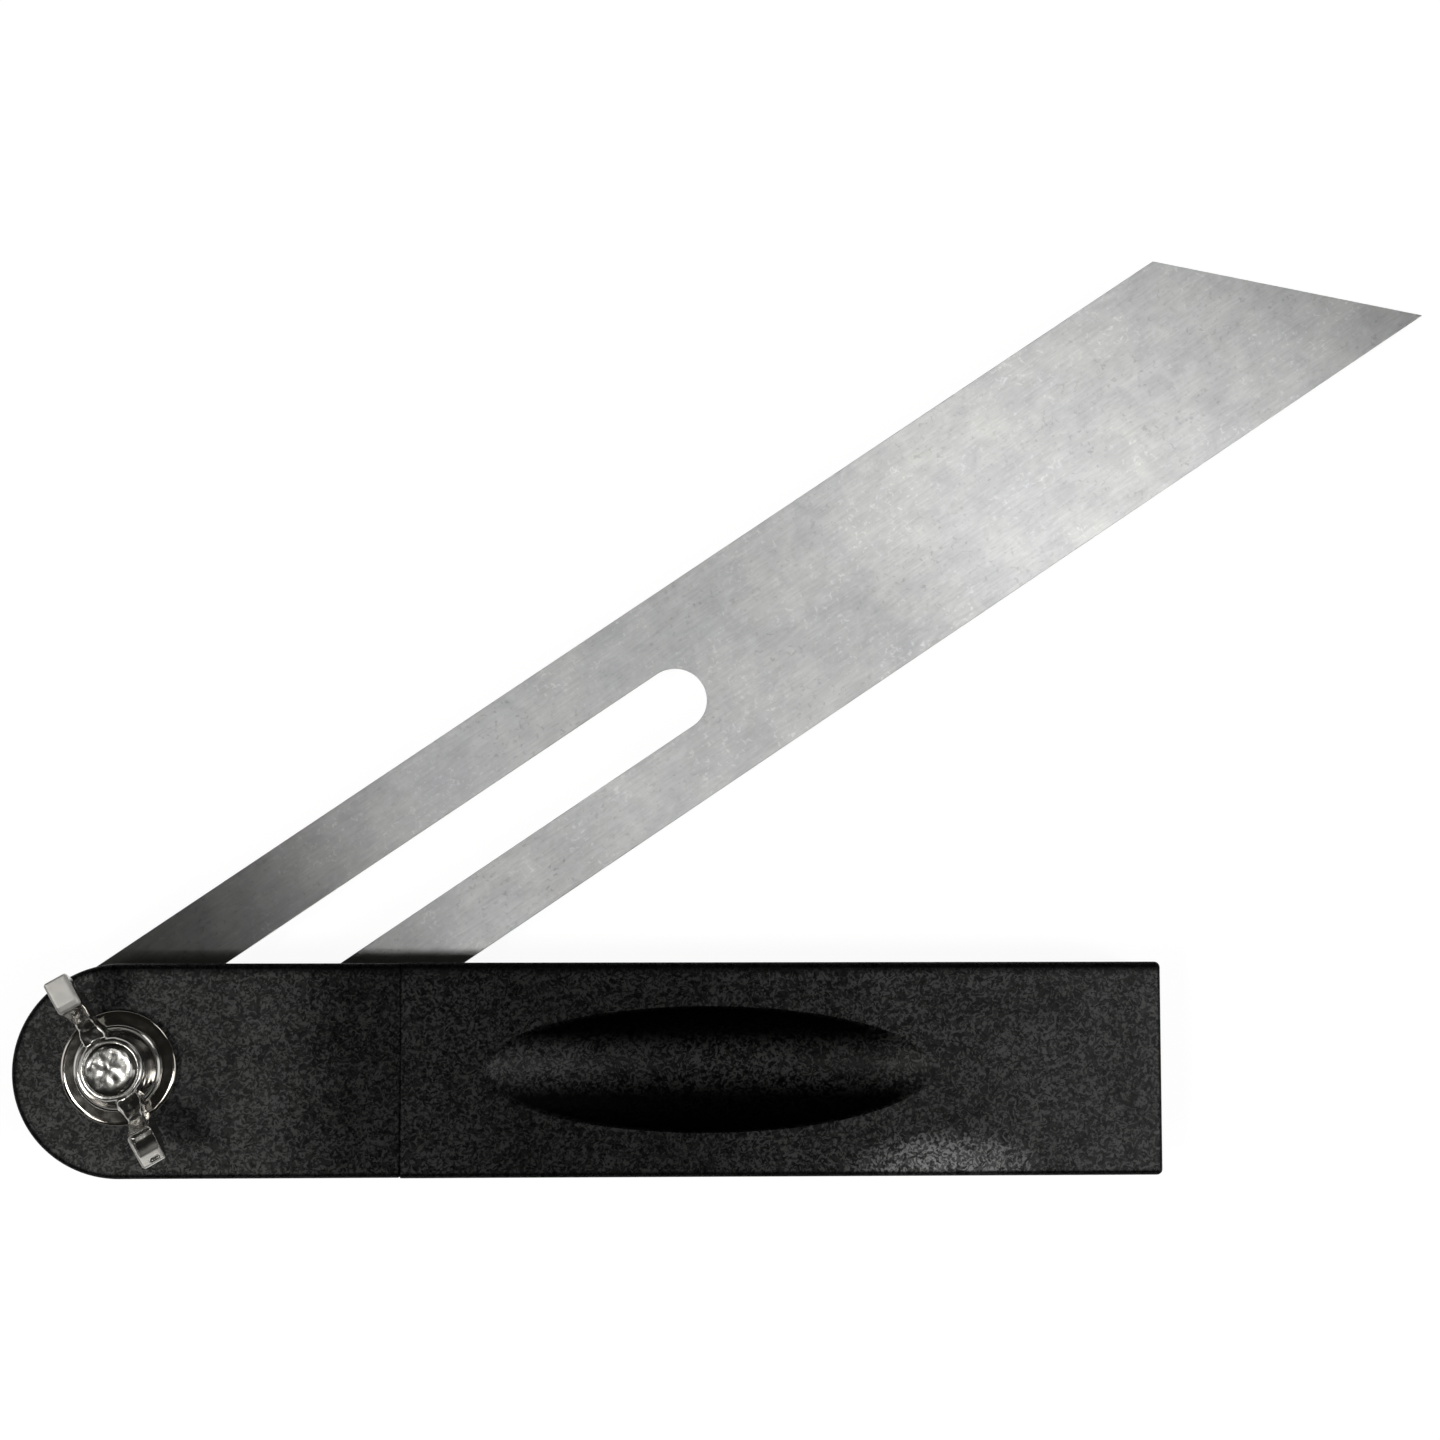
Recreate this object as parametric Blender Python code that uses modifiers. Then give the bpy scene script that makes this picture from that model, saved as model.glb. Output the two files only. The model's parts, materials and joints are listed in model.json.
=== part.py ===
"""Sliding bevel: a forked plastic handle, a slotted steel blade and a wing nut on a bolt.

The tool lies on its back. X runs along the handle, Z runs up the pivot bolt, the origin is
on the bolt's axis and z = 0 is the back of the handle. All sizes are in metres.
"""

from math import cos, pi, radians, sin

import bmesh
import bpy
from mathutils import Vector

# Running fits
gap = 0.0003
overrun = 0.002
merge_distance = 0.00001

# Handle
handle_thickness = 0.018
handle_width = 0.0264
handle_butt_from_pivot = 0.1286
handle_edge_radius = 0.0007
butt_corner_radius = 0.0012
pivot_above_midline = 0.0004
web_thickness = 0.0006
web_start_from_pivot = 0.0343

# Grip recess, one in each face of the handle
grip_from_pivot = 0.072
grip_length = 0.056
grip_width = 0.0156
grip_depth = 0.004
grip_rim_angle = radians(68)

# Blade
blade_width = 0.0254
blade_thickness = 0.0012
blade_tip_from_pivot = 0.1915
blade_tip_angle = radians(45)
blade_slot_travel = 0.0825
blade_angle = radians(34.07)

# Bolt
bolt_diameter = 0.006
bolt_end_chamfer = 0.0003
bolt_head_diameter = 0.012
bolt_head_height = 0.003
bolt_head_chamfer = 0.0004
bolt_neck_side = 0.0066
bolt_neck_length = 0.003
bolt_end_above_nut = 0.0015

# Slot bush
bush_wall = 0.00045

# Washer
washer_diameter = 0.014
washer_thickness = 0.0012
washer_edge_chamfer = 0.0002

# Wing nut
nut_base_diameter = 0.0106
nut_top_diameter = 0.0077
nut_height = 0.006
nut_base_rim = 0.0007
nut_top_chamfer = 0.00025
wing_reach = 0.0124
wing_height = 0.0115
wing_thickness = 0.0029
wing_edge_radius = 0.0004
wing_direction = radians(119.7)

# The wing's side outline, in shares of its reach and of its height, from the hub's foot
# out along the under side, over the flat top and back down to the hub
wing_outline_shares = (
    (0.28, 0.10), (0.42, 0.12), (0.58, 0.23), (0.74, 0.39), (0.88, 0.58), (0.97, 0.80),
    (1.00, 0.93), (0.96, 1.00), (0.71, 1.00), (0.66, 0.95), (0.63, 0.78), (0.56, 0.59),
    (0.45, 0.48), (0.28, 0.46),
)

# Fineness of the curved faces
round_steps = 48
arc_steps = 24
corner_steps = 4
edge_segments = 2
grip_segments = 48
grip_rings = 28

# Angles between faces: below the first they count as one flat face, above the second the
# edge is rounded off, and above the third it is shaded as a crease
flat_angle = radians(0.5)
rounded_angle = radians(50)
crease_angle = radians(30)

# Colours, from the photograph
plastic_black = (0.018, 0.018, 0.019)
steel_grey = (0.50, 0.50, 0.49)
nickel_grey = (0.66, 0.64, 0.60)
brass_yellow = (0.45, 0.30, 0.13)

# Places worked out from the sizes
handle_mid_y = -pivot_above_midline
handle_bottom_y = handle_mid_y - handle_width / 2
handle_top_y = handle_mid_y + handle_width / 2
nose_radius = handle_width / 2
blade_mid_z = handle_thickness / 2
bolt_hole_radius = bolt_diameter / 2 + gap
bush_radius = bolt_hole_radius + bush_wall
blade_slot_width = 2 * (bush_radius + gap)
handle_slot_height = blade_thickness + 2 * gap
washer_z = handle_thickness + gap
nut_z = washer_z + washer_thickness + gap
bolt_end_z = nut_z + nut_height + bolt_end_above_nut


def clear_scene():
    for item in list(bpy.data.objects):
        bpy.data.objects.remove(item, do_unlink=True)


def new_collection(name):
    collection = bpy.data.collections.new(name)
    bpy.context.scene.collection.children.link(collection)
    return collection


def new_material(name, colour, roughness, metallic):
    material = bpy.data.materials.new(name)
    material.use_nodes = True
    shader = material.node_tree.nodes["Principled BSDF"]
    shader.inputs["Base Color"].default_value = (*colour, 1.0)
    shader.inputs["Roughness"].default_value = roughness
    shader.inputs["Metallic"].default_value = metallic
    return material


def new_object(name, mesh, collection):
    item = bpy.data.objects.new(name, mesh)
    collection.objects.link(item)
    return item


def arc(centre_x, centre_y, radius, start, end, steps):
    """Points along an arc from the start angle to the end angle, both ends included."""
    points = []
    for step in range(steps + 1):
        angle = start + (end - start) * step / steps
        points.append((centre_x + radius * cos(angle), centre_y + radius * sin(angle)))
    return points


def flat_solid(name, loops, thickness, collection):
    """A plate centred on z = 0, from closed outlines; inner outlines become holes."""
    curve = bpy.data.curves.new(name + "_outline", "CURVE")
    curve.dimensions = "2D"
    curve.fill_mode = "BOTH"
    curve.extrude = thickness / 2
    for loop in loops:
        spline = curve.splines.new("POLY")
        spline.points.add(len(loop) - 1)
        for point, (x, y) in zip(spline.points, loop):
            point.co = (x, y, 0, 1)
        spline.use_cyclic_u = True
    outline = new_object(name + "_outline", curve, collection)
    graph = bpy.context.evaluated_depsgraph_get()
    mesh = bpy.data.meshes.new_from_object(outline.evaluated_get(graph))
    mesh.name = name
    weld = bmesh.new()
    weld.from_mesh(mesh)
    bmesh.ops.remove_doubles(weld, verts=weld.verts, dist=merge_distance)
    bmesh.ops.dissolve_limit(weld, angle_limit=flat_angle, verts=weld.verts, edges=weld.edges)
    bmesh.ops.recalc_face_normals(weld, faces=weld.faces)
    weld.to_mesh(mesh)
    weld.free()
    plate = new_object(name, mesh, collection)
    plate.matrix_world = outline.matrix_world.copy()
    bpy.data.objects.remove(outline, do_unlink=True)
    return plate


def turned_solid(name, profile, closed, collection):
    """A solid turned about Z. The profile runs down its outer side, in radii and heights."""
    mesh = bpy.data.meshes.new(name)
    points = [(radius, 0, height) for radius, height in profile]
    edges = [(index, index + 1) for index in range(len(points) - 1)]
    if closed:
        edges.append((len(points) - 1, 0))
    mesh.from_pydata(points, edges, [])
    item = new_object(name, mesh, collection)
    screw = item.modifiers.new("turn", "SCREW")
    screw.steps = round_steps
    screw.render_steps = round_steps
    screw.use_merge_vertices = True
    screw.merge_threshold = merge_distance
    screw.use_smooth_shade = True
    return item


def block(name, low, high, collection):
    """A box between two corners."""
    low = Vector(low)
    high = Vector(high)
    mesh = bpy.data.meshes.new(name)
    shape = bmesh.new()
    bmesh.ops.create_cube(shape, size=1.0)
    bmesh.ops.scale(shape, vec=high - low, verts=shape.verts)
    bmesh.ops.translate(shape, vec=(low + high) / 2, verts=shape.verts)
    shape.to_mesh(mesh)
    shape.free()
    return new_object(name, mesh, collection)


def rod(name, radius, low_z, high_z, collection):
    """A plain cylinder about Z."""
    mesh = bpy.data.meshes.new(name)
    shape = bmesh.new()
    bmesh.ops.create_cone(
        shape, cap_ends=True, segments=round_steps,
        radius1=radius, radius2=radius, depth=high_z - low_z,
    )
    bmesh.ops.translate(shape, vec=(0, 0, (low_z + high_z) / 2), verts=shape.verts)
    shape.to_mesh(mesh)
    shape.free()
    return new_object(name, mesh, collection)


def boolean(target, tool, operation):
    change = target.modifiers.new(tool.name, "BOOLEAN")
    change.operation = operation
    change.solver = "EXACT"
    change.object = tool
    tool.hide_render = True
    tool.display_type = "WIRE"


def round_edges(item, radius):
    bevel = item.modifiers.new("round_edges", "BEVEL")
    bevel.width = radius
    bevel.segments = edge_segments
    bevel.limit_method = "ANGLE"
    bevel.angle_limit = rounded_angle


def handle_outline():
    """The handle from above: a half-round nose about the pivot and a square butt."""
    butt = handle_butt_from_pivot
    corner_x = butt - butt_corner_radius
    points = arc(0, handle_mid_y, nose_radius, pi / 2, 3 * pi / 2, 2 * arc_steps)
    low_corner = (corner_x, handle_bottom_y + butt_corner_radius, butt_corner_radius)
    points += arc(*low_corner, -pi / 2, 0, corner_steps)
    high_corner = (corner_x, handle_top_y - butt_corner_radius, butt_corner_radius)
    points += arc(*high_corner, 0, pi / 2, corner_steps)
    return points


def blade_slot_outline():
    """The slot in the handle: open all round the nose, closed below by the web behind it."""
    left = -nose_radius - overrun
    right = handle_butt_from_pivot + overrun
    low = handle_bottom_y - overrun
    high = handle_top_y + overrun
    web_top = handle_bottom_y + web_thickness
    return [
        (left, low), (web_start_from_pivot, low), (web_start_from_pivot, web_top),
        (right, web_top), (right, high), (left, high),
    ]


def grip_cutter(name, face_z, outward, cutters):
    """A flattened ball whose cap cuts a long oval hollow with its rim on the face."""
    mesh = bpy.data.meshes.new(name)
    shape = bmesh.new()
    bmesh.ops.create_uvsphere(
        shape, u_segments=grip_segments, v_segments=grip_rings, radius=1.0
    )
    scale_z = grip_depth / (1 - cos(grip_rim_angle))
    scale_x = grip_length / 2 / sin(grip_rim_angle)
    scale_y = grip_width / 2 / sin(grip_rim_angle)
    bmesh.ops.scale(shape, vec=(scale_x, scale_y, scale_z), verts=shape.verts)
    shape.to_mesh(mesh)
    shape.free()
    ball = new_object(name, mesh, cutters)
    centre_z = face_z + outward * scale_z * cos(grip_rim_angle)
    ball.location = (grip_from_pivot, handle_mid_y, centre_z)
    return ball


def make_handle(parts, cutters):
    handle = flat_solid("handle", [handle_outline()], handle_thickness, parts)
    for corner in handle.data.vertices:
        corner.co.z += handle_thickness / 2
    round_edges(handle, handle_edge_radius)
    slot = flat_solid("handle_slot_cut", [blade_slot_outline()], handle_slot_height, cutters)
    slot.location.z = blade_mid_z
    boolean(handle, slot, "DIFFERENCE")
    boolean(handle, grip_cutter("front_grip_cut", handle_thickness, 1, cutters), "DIFFERENCE")
    boolean(handle, grip_cutter("back_grip_cut", 0, -1, cutters), "DIFFERENCE")
    through = handle_thickness + overrun
    boolean(handle, rod("bolt_hole_cut", bolt_hole_radius, -overrun, through, cutters), "DIFFERENCE")
    head_radius = bolt_head_diameter / 2 + gap
    head_top = bolt_head_height + gap
    boolean(handle, rod("bolt_head_cut", head_radius, -overrun, head_top, cutters), "DIFFERENCE")
    neck_half = bolt_neck_side / 2 + gap
    neck_top = bolt_head_height + bolt_neck_length + gap
    neck_low = (-neck_half, -neck_half, bolt_head_height / 2)
    neck = block("bolt_neck_cut", neck_low, (neck_half, neck_half, neck_top), cutters)
    boolean(handle, neck, "DIFFERENCE")
    return handle


def blade_outline():
    """The blade along X: round tail about the pivot, parallel edges, bevelled tip."""
    half = blade_width / 2
    cut_length = blade_width * cos(blade_tip_angle) / sin(blade_tip_angle)
    points = arc(0, 0, half, pi / 2, 3 * pi / 2, arc_steps)
    points.append((blade_tip_from_pivot, -half))
    points.append((blade_tip_from_pivot - cut_length, half))
    return points


def blade_slot():
    half = blade_slot_width / 2
    tail = arc(0, 0, half, pi / 2, 3 * pi / 2, arc_steps)
    front = arc(blade_slot_travel, 0, half, -pi / 2, pi / 2, arc_steps)
    return tail + front


def make_blade(parts):
    return flat_solid("blade", [blade_outline(), blade_slot()], blade_thickness, parts)


def make_slot_bush(parts):
    inner = bolt_hole_radius
    half = blade_thickness / 2
    profile = [(inner, half), (bush_radius, half), (bush_radius, -half), (inner, -half)]
    bush = turned_solid("slot_bush", profile, True, parts)
    bush.location.z = blade_mid_z
    bush.rotation_euler.z = blade_angle
    return bush


def make_bolt(parts, cutters):
    shank = bolt_diameter / 2
    head = bolt_head_diameter / 2
    profile = [
        (0, bolt_end_z), (shank - bolt_end_chamfer, bolt_end_z),
        (shank, bolt_end_z - bolt_end_chamfer), (shank, bolt_head_height),
        (head, bolt_head_height), (head, bolt_head_chamfer),
        (head - bolt_head_chamfer, 0), (0, 0),
    ]
    bolt = turned_solid("bolt", profile, False, parts)
    half = bolt_neck_side / 2
    neck_low = (-half, -half, bolt_head_height / 2)
    neck_high = (half, half, bolt_head_height + bolt_neck_length)
    boolean(bolt, block("bolt_square_neck", neck_low, neck_high, cutters), "UNION")
    return bolt


def make_washer(parts):
    inner = bolt_hole_radius
    outer = washer_diameter / 2
    soft = washer_edge_chamfer
    high = washer_thickness
    profile = [
        (inner, high), (outer - soft, high), (outer, high - soft),
        (outer, soft), (outer - soft, 0), (inner, 0),
    ]
    washer = turned_solid("washer", profile, True, parts)
    washer.location.z = washer_z
    return washer


def wing_cutout(name, turn, cutters):
    """One wing as a plate that stands on edge along the nut's wing line."""
    outline = [(wing_reach * out, wing_height * up) for out, up in wing_outline_shares]
    wing = flat_solid(name, [outline], wing_thickness, cutters)
    round_edges(wing, wing_edge_radius)
    wing.rotation_euler = (pi / 2, 0, wing_direction + turn)
    wing.location.z = nut_z
    return wing


def make_wing_nut(parts, cutters):
    base = nut_base_diameter / 2
    top = nut_top_diameter / 2
    profile = [
        (0, nut_height), (top - nut_top_chamfer, nut_height),
        (top, nut_height - nut_top_chamfer), (base, nut_base_rim), (base, 0), (0, 0),
    ]
    nut = turned_solid("wing_nut", profile, False, parts)
    nut.location.z = nut_z
    nut.rotation_euler.z = wing_direction
    boolean(nut, wing_cutout("first_wing", 0, cutters), "UNION")
    boolean(nut, wing_cutout("second_wing", pi, cutters), "UNION")
    top_z = nut_z + nut_height + overrun
    bore = rod("nut_bore_cut", bolt_hole_radius, nut_z - overrun, top_z, cutters)
    boolean(nut, bore, "DIFFERENCE")
    return nut


def build():
    clear_scene()
    parts = new_collection("sliding_bevel")
    cutters = new_collection("cutters")
    handle = make_handle(parts, cutters)
    handle.data.materials.append(new_material("black_plastic", plastic_black, 0.55, 0.0))
    bolt = make_bolt(parts, cutters)
    bolt.data.materials.append(new_material("bolt_nickel", nickel_grey, 0.3, 1.0))
    bush = make_slot_bush(parts)
    bush.data.materials.append(new_material("bush_brass", brass_yellow, 0.4, 1.0))
    blade = make_blade(parts)
    blade.data.materials.append(new_material("ground_steel", steel_grey, 0.35, 1.0))
    washer = make_washer(parts)
    washer.data.materials.append(new_material("washer_nickel", nickel_grey, 0.2, 1.0))
    nut = make_wing_nut(parts, cutters)
    nut.data.materials.append(new_material("nut_nickel", nickel_grey, 0.18, 1.0))

    bolt.parent = handle
    bush.parent = handle
    blade.parent = bush
    washer.parent = handle
    for item in (handle, blade):
        item.data.shade_smooth()
        item.data.set_sharp_from_angle(angle=crease_angle)


build()
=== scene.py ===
"""Looks of the sliding bevel: moulded plastic, ground steel and nickel plate, in soft studio light.

Everything is in metres. X runs along the handle, Z up the pivot bolt, and the origin is on the
bolt's axis in the plane of the handle's back.
"""

import json
from math import asin, atan2, cos, pi, radians, sin, tan

import bmesh
import bpy
from mathutils import Euler, Matrix, Vector, noise


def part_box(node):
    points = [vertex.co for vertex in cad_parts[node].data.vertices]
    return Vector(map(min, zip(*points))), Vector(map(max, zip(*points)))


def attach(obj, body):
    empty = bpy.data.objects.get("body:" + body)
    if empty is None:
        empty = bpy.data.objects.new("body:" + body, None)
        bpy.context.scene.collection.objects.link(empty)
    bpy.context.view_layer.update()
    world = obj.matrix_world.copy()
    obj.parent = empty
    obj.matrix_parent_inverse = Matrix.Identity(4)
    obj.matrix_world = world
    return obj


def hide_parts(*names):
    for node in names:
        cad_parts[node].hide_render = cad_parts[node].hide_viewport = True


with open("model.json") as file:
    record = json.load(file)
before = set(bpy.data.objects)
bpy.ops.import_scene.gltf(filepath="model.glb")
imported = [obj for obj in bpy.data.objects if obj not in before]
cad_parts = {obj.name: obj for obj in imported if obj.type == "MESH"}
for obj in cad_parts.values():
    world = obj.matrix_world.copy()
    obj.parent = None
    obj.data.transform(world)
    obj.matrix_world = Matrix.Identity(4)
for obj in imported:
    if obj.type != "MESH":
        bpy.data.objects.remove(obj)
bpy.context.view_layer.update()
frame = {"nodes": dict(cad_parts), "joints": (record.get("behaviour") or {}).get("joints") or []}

UP = Vector((0, 0, 1))
TINY = 0.000001
crease_angle = radians(32)
arc_steps = 96

# What the frame doesn't say of the handle
edge_round = 0.0007
edge_round_steps = 5
butt_corner = 0.0007
butt_corner_steps = 8
grip_centre_x = 0.072
grip_length = 0.056
grip_width = 0.0156
grip_depth = 0.004
grip_rim_angle = radians(68)
grip_rings = 64
seam_x = 0.0343
seam_width = 0.0003
seam_step = 0.00006
seam_groove = 0.0001
web_height = 0.0006
slot_clearance = 0.0003
neck_hole_half = 0.0036
head_hole_radius = 0.0063
head_hole_depth = 0.0033
bolt_hole_radius = 0.0033

# How dull hands have made the handle, as shares, and where along it; the lighter colour that this gives
# is in part painted light, where the lamps light its nose, its butt and the recess's ends
nose_wear_and_light = 0.42
nose_full_to = 0.0180
nose_none_from = 0.0275
seam_wear_and_light = 0.07
seam_fade_length = 0.014
butt_wear_and_light = 0.58
butt_rise_from = 0.068
butt_rise_to = 0.130
grip_near_wear_and_light = 0.28
grip_middle_wear_and_light = -0.13
grip_far_wear_and_light = 0.38
grip_far_from = 0.0905
grip_far_to = 0.0965

# The recess: its lit band lies a little above the middle, between walls of painted shade
grip_band_offset = 0.0006
grip_band_half = 0.0021
grip_shade_from = 0.0040
grip_shade = 0.97

# A spot that a palm has polished, glossier, with a painted highlight in its colour: its place in plan
# and its half sizes
polish_highlight_place = (0.1020, -0.0130)
polish_highlight_size = (0.0135, 0.0055)
polish_highlight_falloff = 1.4

# Fades of the handle's finish and of the painted shade along its rim: how far in from the edge each one
# starts and ends
top_fade = (0.0012, 0.0006)
nose_rim = (0.0008, 0.00045)
upper_rim = (0.00155, 0.0007)
butt_rim = (0.0005, 0.0003)
rim_unshaded_share = 0.1
rub_radius = 0.0004

# The grain of the handle's mould
grain_size = 0.0013
grain_depth = 0.00009

# Blade
blade_edge = 0.00006
blade_edge_drop = 0.00004
blade_crease_angle = radians(10)
blade_slot_width = 0.0081
blade_slot_steps = 40
blade_map_scale = 5
grind_length = 0.0028
grind_width = 0.0003
grind_depth = 0.0000004

# Two faint darker patches on the blade: the place in plan and the half sizes of each
blade_dark_patches = ((0.0535, 0.0249, 0.012, 0.009), (0.1000, 0.0555, 0.018, 0.011))
dark_patch_strength = 0.15

# Washer
washer_rim_wide = 0.0006
washer_rim_deep = 0.00026
washer_rim_steps = 8
washer_facets = 128

# Bolt
bolt_radius = 0.003
bolt_facets = 64
head_top = 0.003
head_top_chamfer = (0.0002, 0.0003)
head_foot_round = 0.0005
head_foot_middle = 0.00015
neck_half = 0.0033
thread_pitch = 0.001
thread_depth = 0.00055
thread_steps = 40
thread_root_share = 1.15
thread_half_share = 0.46
thread_crest_share = 0.07
thread_end_share = 0.35

# The bolt's sheared end: rings of points as shares of its radius, and depths below its top
bolt_end_radius = 0.0028
bolt_end_shares = (0.12, 0.24, 0.36, 0.48, 0.60, 0.72, 0.84, 0.93)
bolt_end_sink = 0.00006
bolt_end_edge = 0.0002
bolt_end_collar = 0.0005
bolt_end_taper = 0.0009
bolt_wave = 0.00008
bolt_waves_per_metre = 1000
bolt_wave_place = Vector((0.01337, 0.00471, 0.0032))
bolt_wave_turn = Matrix(((0.8, -0.6, 0), (0.6, 0.8, 0), (0, 0, 0)))
bolt_wave_limit = 0.9
fine_wave_share = 0.25
fine_wave_scale = 2.3
sheared_share = 0.88

# The nut's hub, from its foot up
hub_foot_radius = 0.0053
hub_top_radius = 0.00385
hub_height = 0.006
hub_top_chamfer = 0.00025
hub_foot_inset = 0.0004
hub_foot_height = 0.0009
hub_foot_edge = (0.0001, 0.0007)
hub_facets = 128
bore_clearance = 0.00005

# The nut's wings: outline as shares of their reach and of the nut's height
wing_reach = 0.0125
wing_half = 0.00150
wing_corner = 0.0003
wing_corner_steps = 3
wing_outline_shares = (
    (0.30, 0.10), (0.42, 0.11), (0.58, 0.23), (0.74, 0.39), (0.88, 0.58), (0.97, 0.78),
    (1.00, 0.90), (0.99, 1.0), (0.735, 1.0), (0.672, 0.978), (0.645, 0.92), (0.60, 0.78),
    (0.53, 0.65), (0.43, 0.55), (0.30, 0.50),
)
waist_radius = 0.0064
waist_spread = 0.0020
waist_share = 0.68
waist_cuts = 9
wing_tip_from = 0.0118

# Hollows in one wing: the trough's outline by radius and by height over the wing's top
trough_outline = (
    (0.0082, 0.0005), (0.0083, -0.0003), (0.0085, -0.0009), (0.0093, -0.0009), (0.0110, -0.0001),
    (0.0112, 0.0005),
)
trough_side = -0.0011
trough_width = 0.0029
slit_size = (0.00034, 0.0012, 0.0012)
slit_place = (0.0120, 0.00035)

# The nut's cast surface: lumps at the wings' roots and a true cone between the wings
cast_voxel = 0.0000965
cast_smoothing = 8
cast_smoothing_share = 0.5
casting_lump = 0.00012
casting_lumps_per_metre = 1000
root_inside = (0.0034, 0.0040)
root_outside = (0.0062, 0.0082)
root_foot_rise = 0.0006
root_aside = (0.55, 0.75)
cone_aside = (0.55, 0.70)
cone_clear_share = 1.15
cone_end_share = 0.1
cone_foot_height = 0.0010
cone_top_gap = 0.0004

# Nickel plate
satin_below_top = 0.0006
satin_blend = 0.0003
satin_rough = 0.33
ripple_depth = 0.00003

# Studio
floor_half = 6.0
floor_drop = 0.00005
floor_brightness = 0.93
lamp_height = 1.4
lamp_target = Vector((0.055, 0.010, 0.010))
warm_white = (1, 0.99, 0.96)
gloom = (0.020, 0.020, 0.018)
camera_width = 36.0
camera_lens = 77.64
camera_place = (0.05489, 0.01008, 0.40345)
camera_turn = Euler((radians(4.868), radians(-2.774), radians(-0.108)))


# Frame measures

def reach(node, direction):
    """How far a CAD node reaches from the origin along a direction."""
    return max(vert.co.dot(direction) for vert in frame["nodes"][node].data.vertices)


def joint(name):
    return next(item for item in frame["joints"] if item["name"] == name)


blade_along = -Vector(joint("blade_slide")["axis"]).normalized()
blade_across = UP.cross(blade_along)
blade_turn = atan2(blade_along.y, blade_along.x)
handle_low, handle_high = (Vector(corner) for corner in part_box("handle"))
blade_low, blade_high = (Vector(corner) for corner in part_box("blade"))
washer_low, washer_high = (Vector(corner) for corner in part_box("washer"))
nut_low, nut_high = (Vector(corner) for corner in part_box("wing_nut"))
bolt_high = Vector(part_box("bolt")[1])
handle_mid_y = (handle_low.y + handle_high.y) / 2
nose_radius = (handle_high.y - handle_low.y) / 2
handle_thickness = handle_high.z - handle_low.z


# Mesh helpers

def finish_mesh(name, bm, crease=crease_angle):
    """Merges doubles, points faces outwards, shades smooth and makes the object."""
    bmesh.ops.remove_doubles(bm, verts=bm.verts, dist=TINY)
    bmesh.ops.recalc_face_normals(bm, faces=bm.faces)
    mesh = bpy.data.meshes.new(name)
    bm.to_mesh(mesh)
    bm.free()
    mesh.shade_smooth()
    mesh.set_sharp_from_angle(angle=crease)
    piece = bpy.data.objects.new(name, mesh)
    bpy.context.scene.collection.objects.link(piece)
    return piece


def apply_modifiers(piece):
    graph = bpy.context.evaluated_depsgraph_get()
    mesh = bpy.data.meshes.new_from_object(piece.evaluated_get(graph))
    piece.modifiers.clear()
    piece.data = mesh


def combine(piece, tool, operation):
    """Cuts or joins a piece with a helper object, which is then removed."""
    change = piece.modifiers.new(tool.name, "BOOLEAN")
    change.operation = operation
    change.solver = "EXACT"
    change.object = tool
    apply_modifiers(piece)
    bpy.data.objects.remove(tool, do_unlink=True)


def even_shading(piece):
    """Keeps the large flat faces flat beside their rounded edges, and the cut edges sharp."""
    piece.data.shade_smooth()
    piece.data.set_sharp_from_angle(angle=crease_angle)
    weigh = piece.modifiers.new("even_shading", "WEIGHTED_NORMAL")
    weigh.keep_sharp = True
    weigh.weight = 100


def half_circle(bm, start, centre, steps):
    """A row of edges swept from a vertex halfway round a centre; gives the last vertex."""
    turned = bmesh.ops.spin(
        bm, geom=[start], cent=centre, axis=UP, angle=pi, steps=steps,
        use_merge=False, use_duplicate=False,
    )
    return next(item for item in turned["geom_last"] if isinstance(item, bmesh.types.BMVert))


def turned_piece(name, profile, steps):
    """A closed profile of radii and heights, turned about Z."""
    bm = bmesh.new()
    points = [bm.verts.new((radius, 0, height)) for radius, height in profile]
    edges = [bm.edges.new(pair) for pair in zip(points, points[1:] + points[:1])]
    bmesh.ops.spin(
        bm, geom=points + edges, cent=(0, 0, 0), axis=UP, angle=2 * pi, steps=steps,
        use_merge=True, use_duplicate=False,
    )
    return finish_mesh(name, bm)


def rounded(radius, height, wide, deep, steps):
    """A quarter-oval corner of a profile, from its flat side to its outer side."""
    points = []
    for step in range(steps + 1):
        angle = pi / 2 * step / steps
        points.append((radius - wide * (1 - sin(angle)), height - deep * (1 - cos(angle))))
    return points


def rod(name, radius, low_z, high_z):
    bm = bmesh.new()
    bmesh.ops.create_cone(
        bm, cap_ends=True, segments=arc_steps, radius1=radius, radius2=radius, depth=high_z - low_z
    )
    bmesh.ops.translate(bm, vec=(0, 0, (low_z + high_z) / 2), verts=bm.verts)
    return finish_mesh(name, bm)


def block(name, low, high, turn=0.0):
    """A box between two corners, turned about Z."""
    bm = bmesh.new()
    bmesh.ops.create_cube(bm, size=1)
    bmesh.ops.scale(bm, vec=Vector(high) - Vector(low), verts=bm.verts)
    bmesh.ops.translate(bm, vec=(Vector(high) + Vector(low)) / 2, verts=bm.verts)
    turn_about_z(bm, turn)
    return finish_mesh(name, bm)


def thicken(bm, along):
    """Grows a flat outline into a solid, along a vector."""
    grown = bmesh.ops.extrude_face_region(bm, geom=bm.faces[:])
    moved = [item for item in grown["geom"] if isinstance(item, bmesh.types.BMVert)]
    bmesh.ops.translate(bm, vec=along, verts=moved)


def turn_about_z(bm, angle):
    bmesh.ops.rotate(bm, cent=(0, 0, 0), matrix=Matrix.Rotation(angle, 3, "Z"), verts=bm.verts)


# Handle

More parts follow.
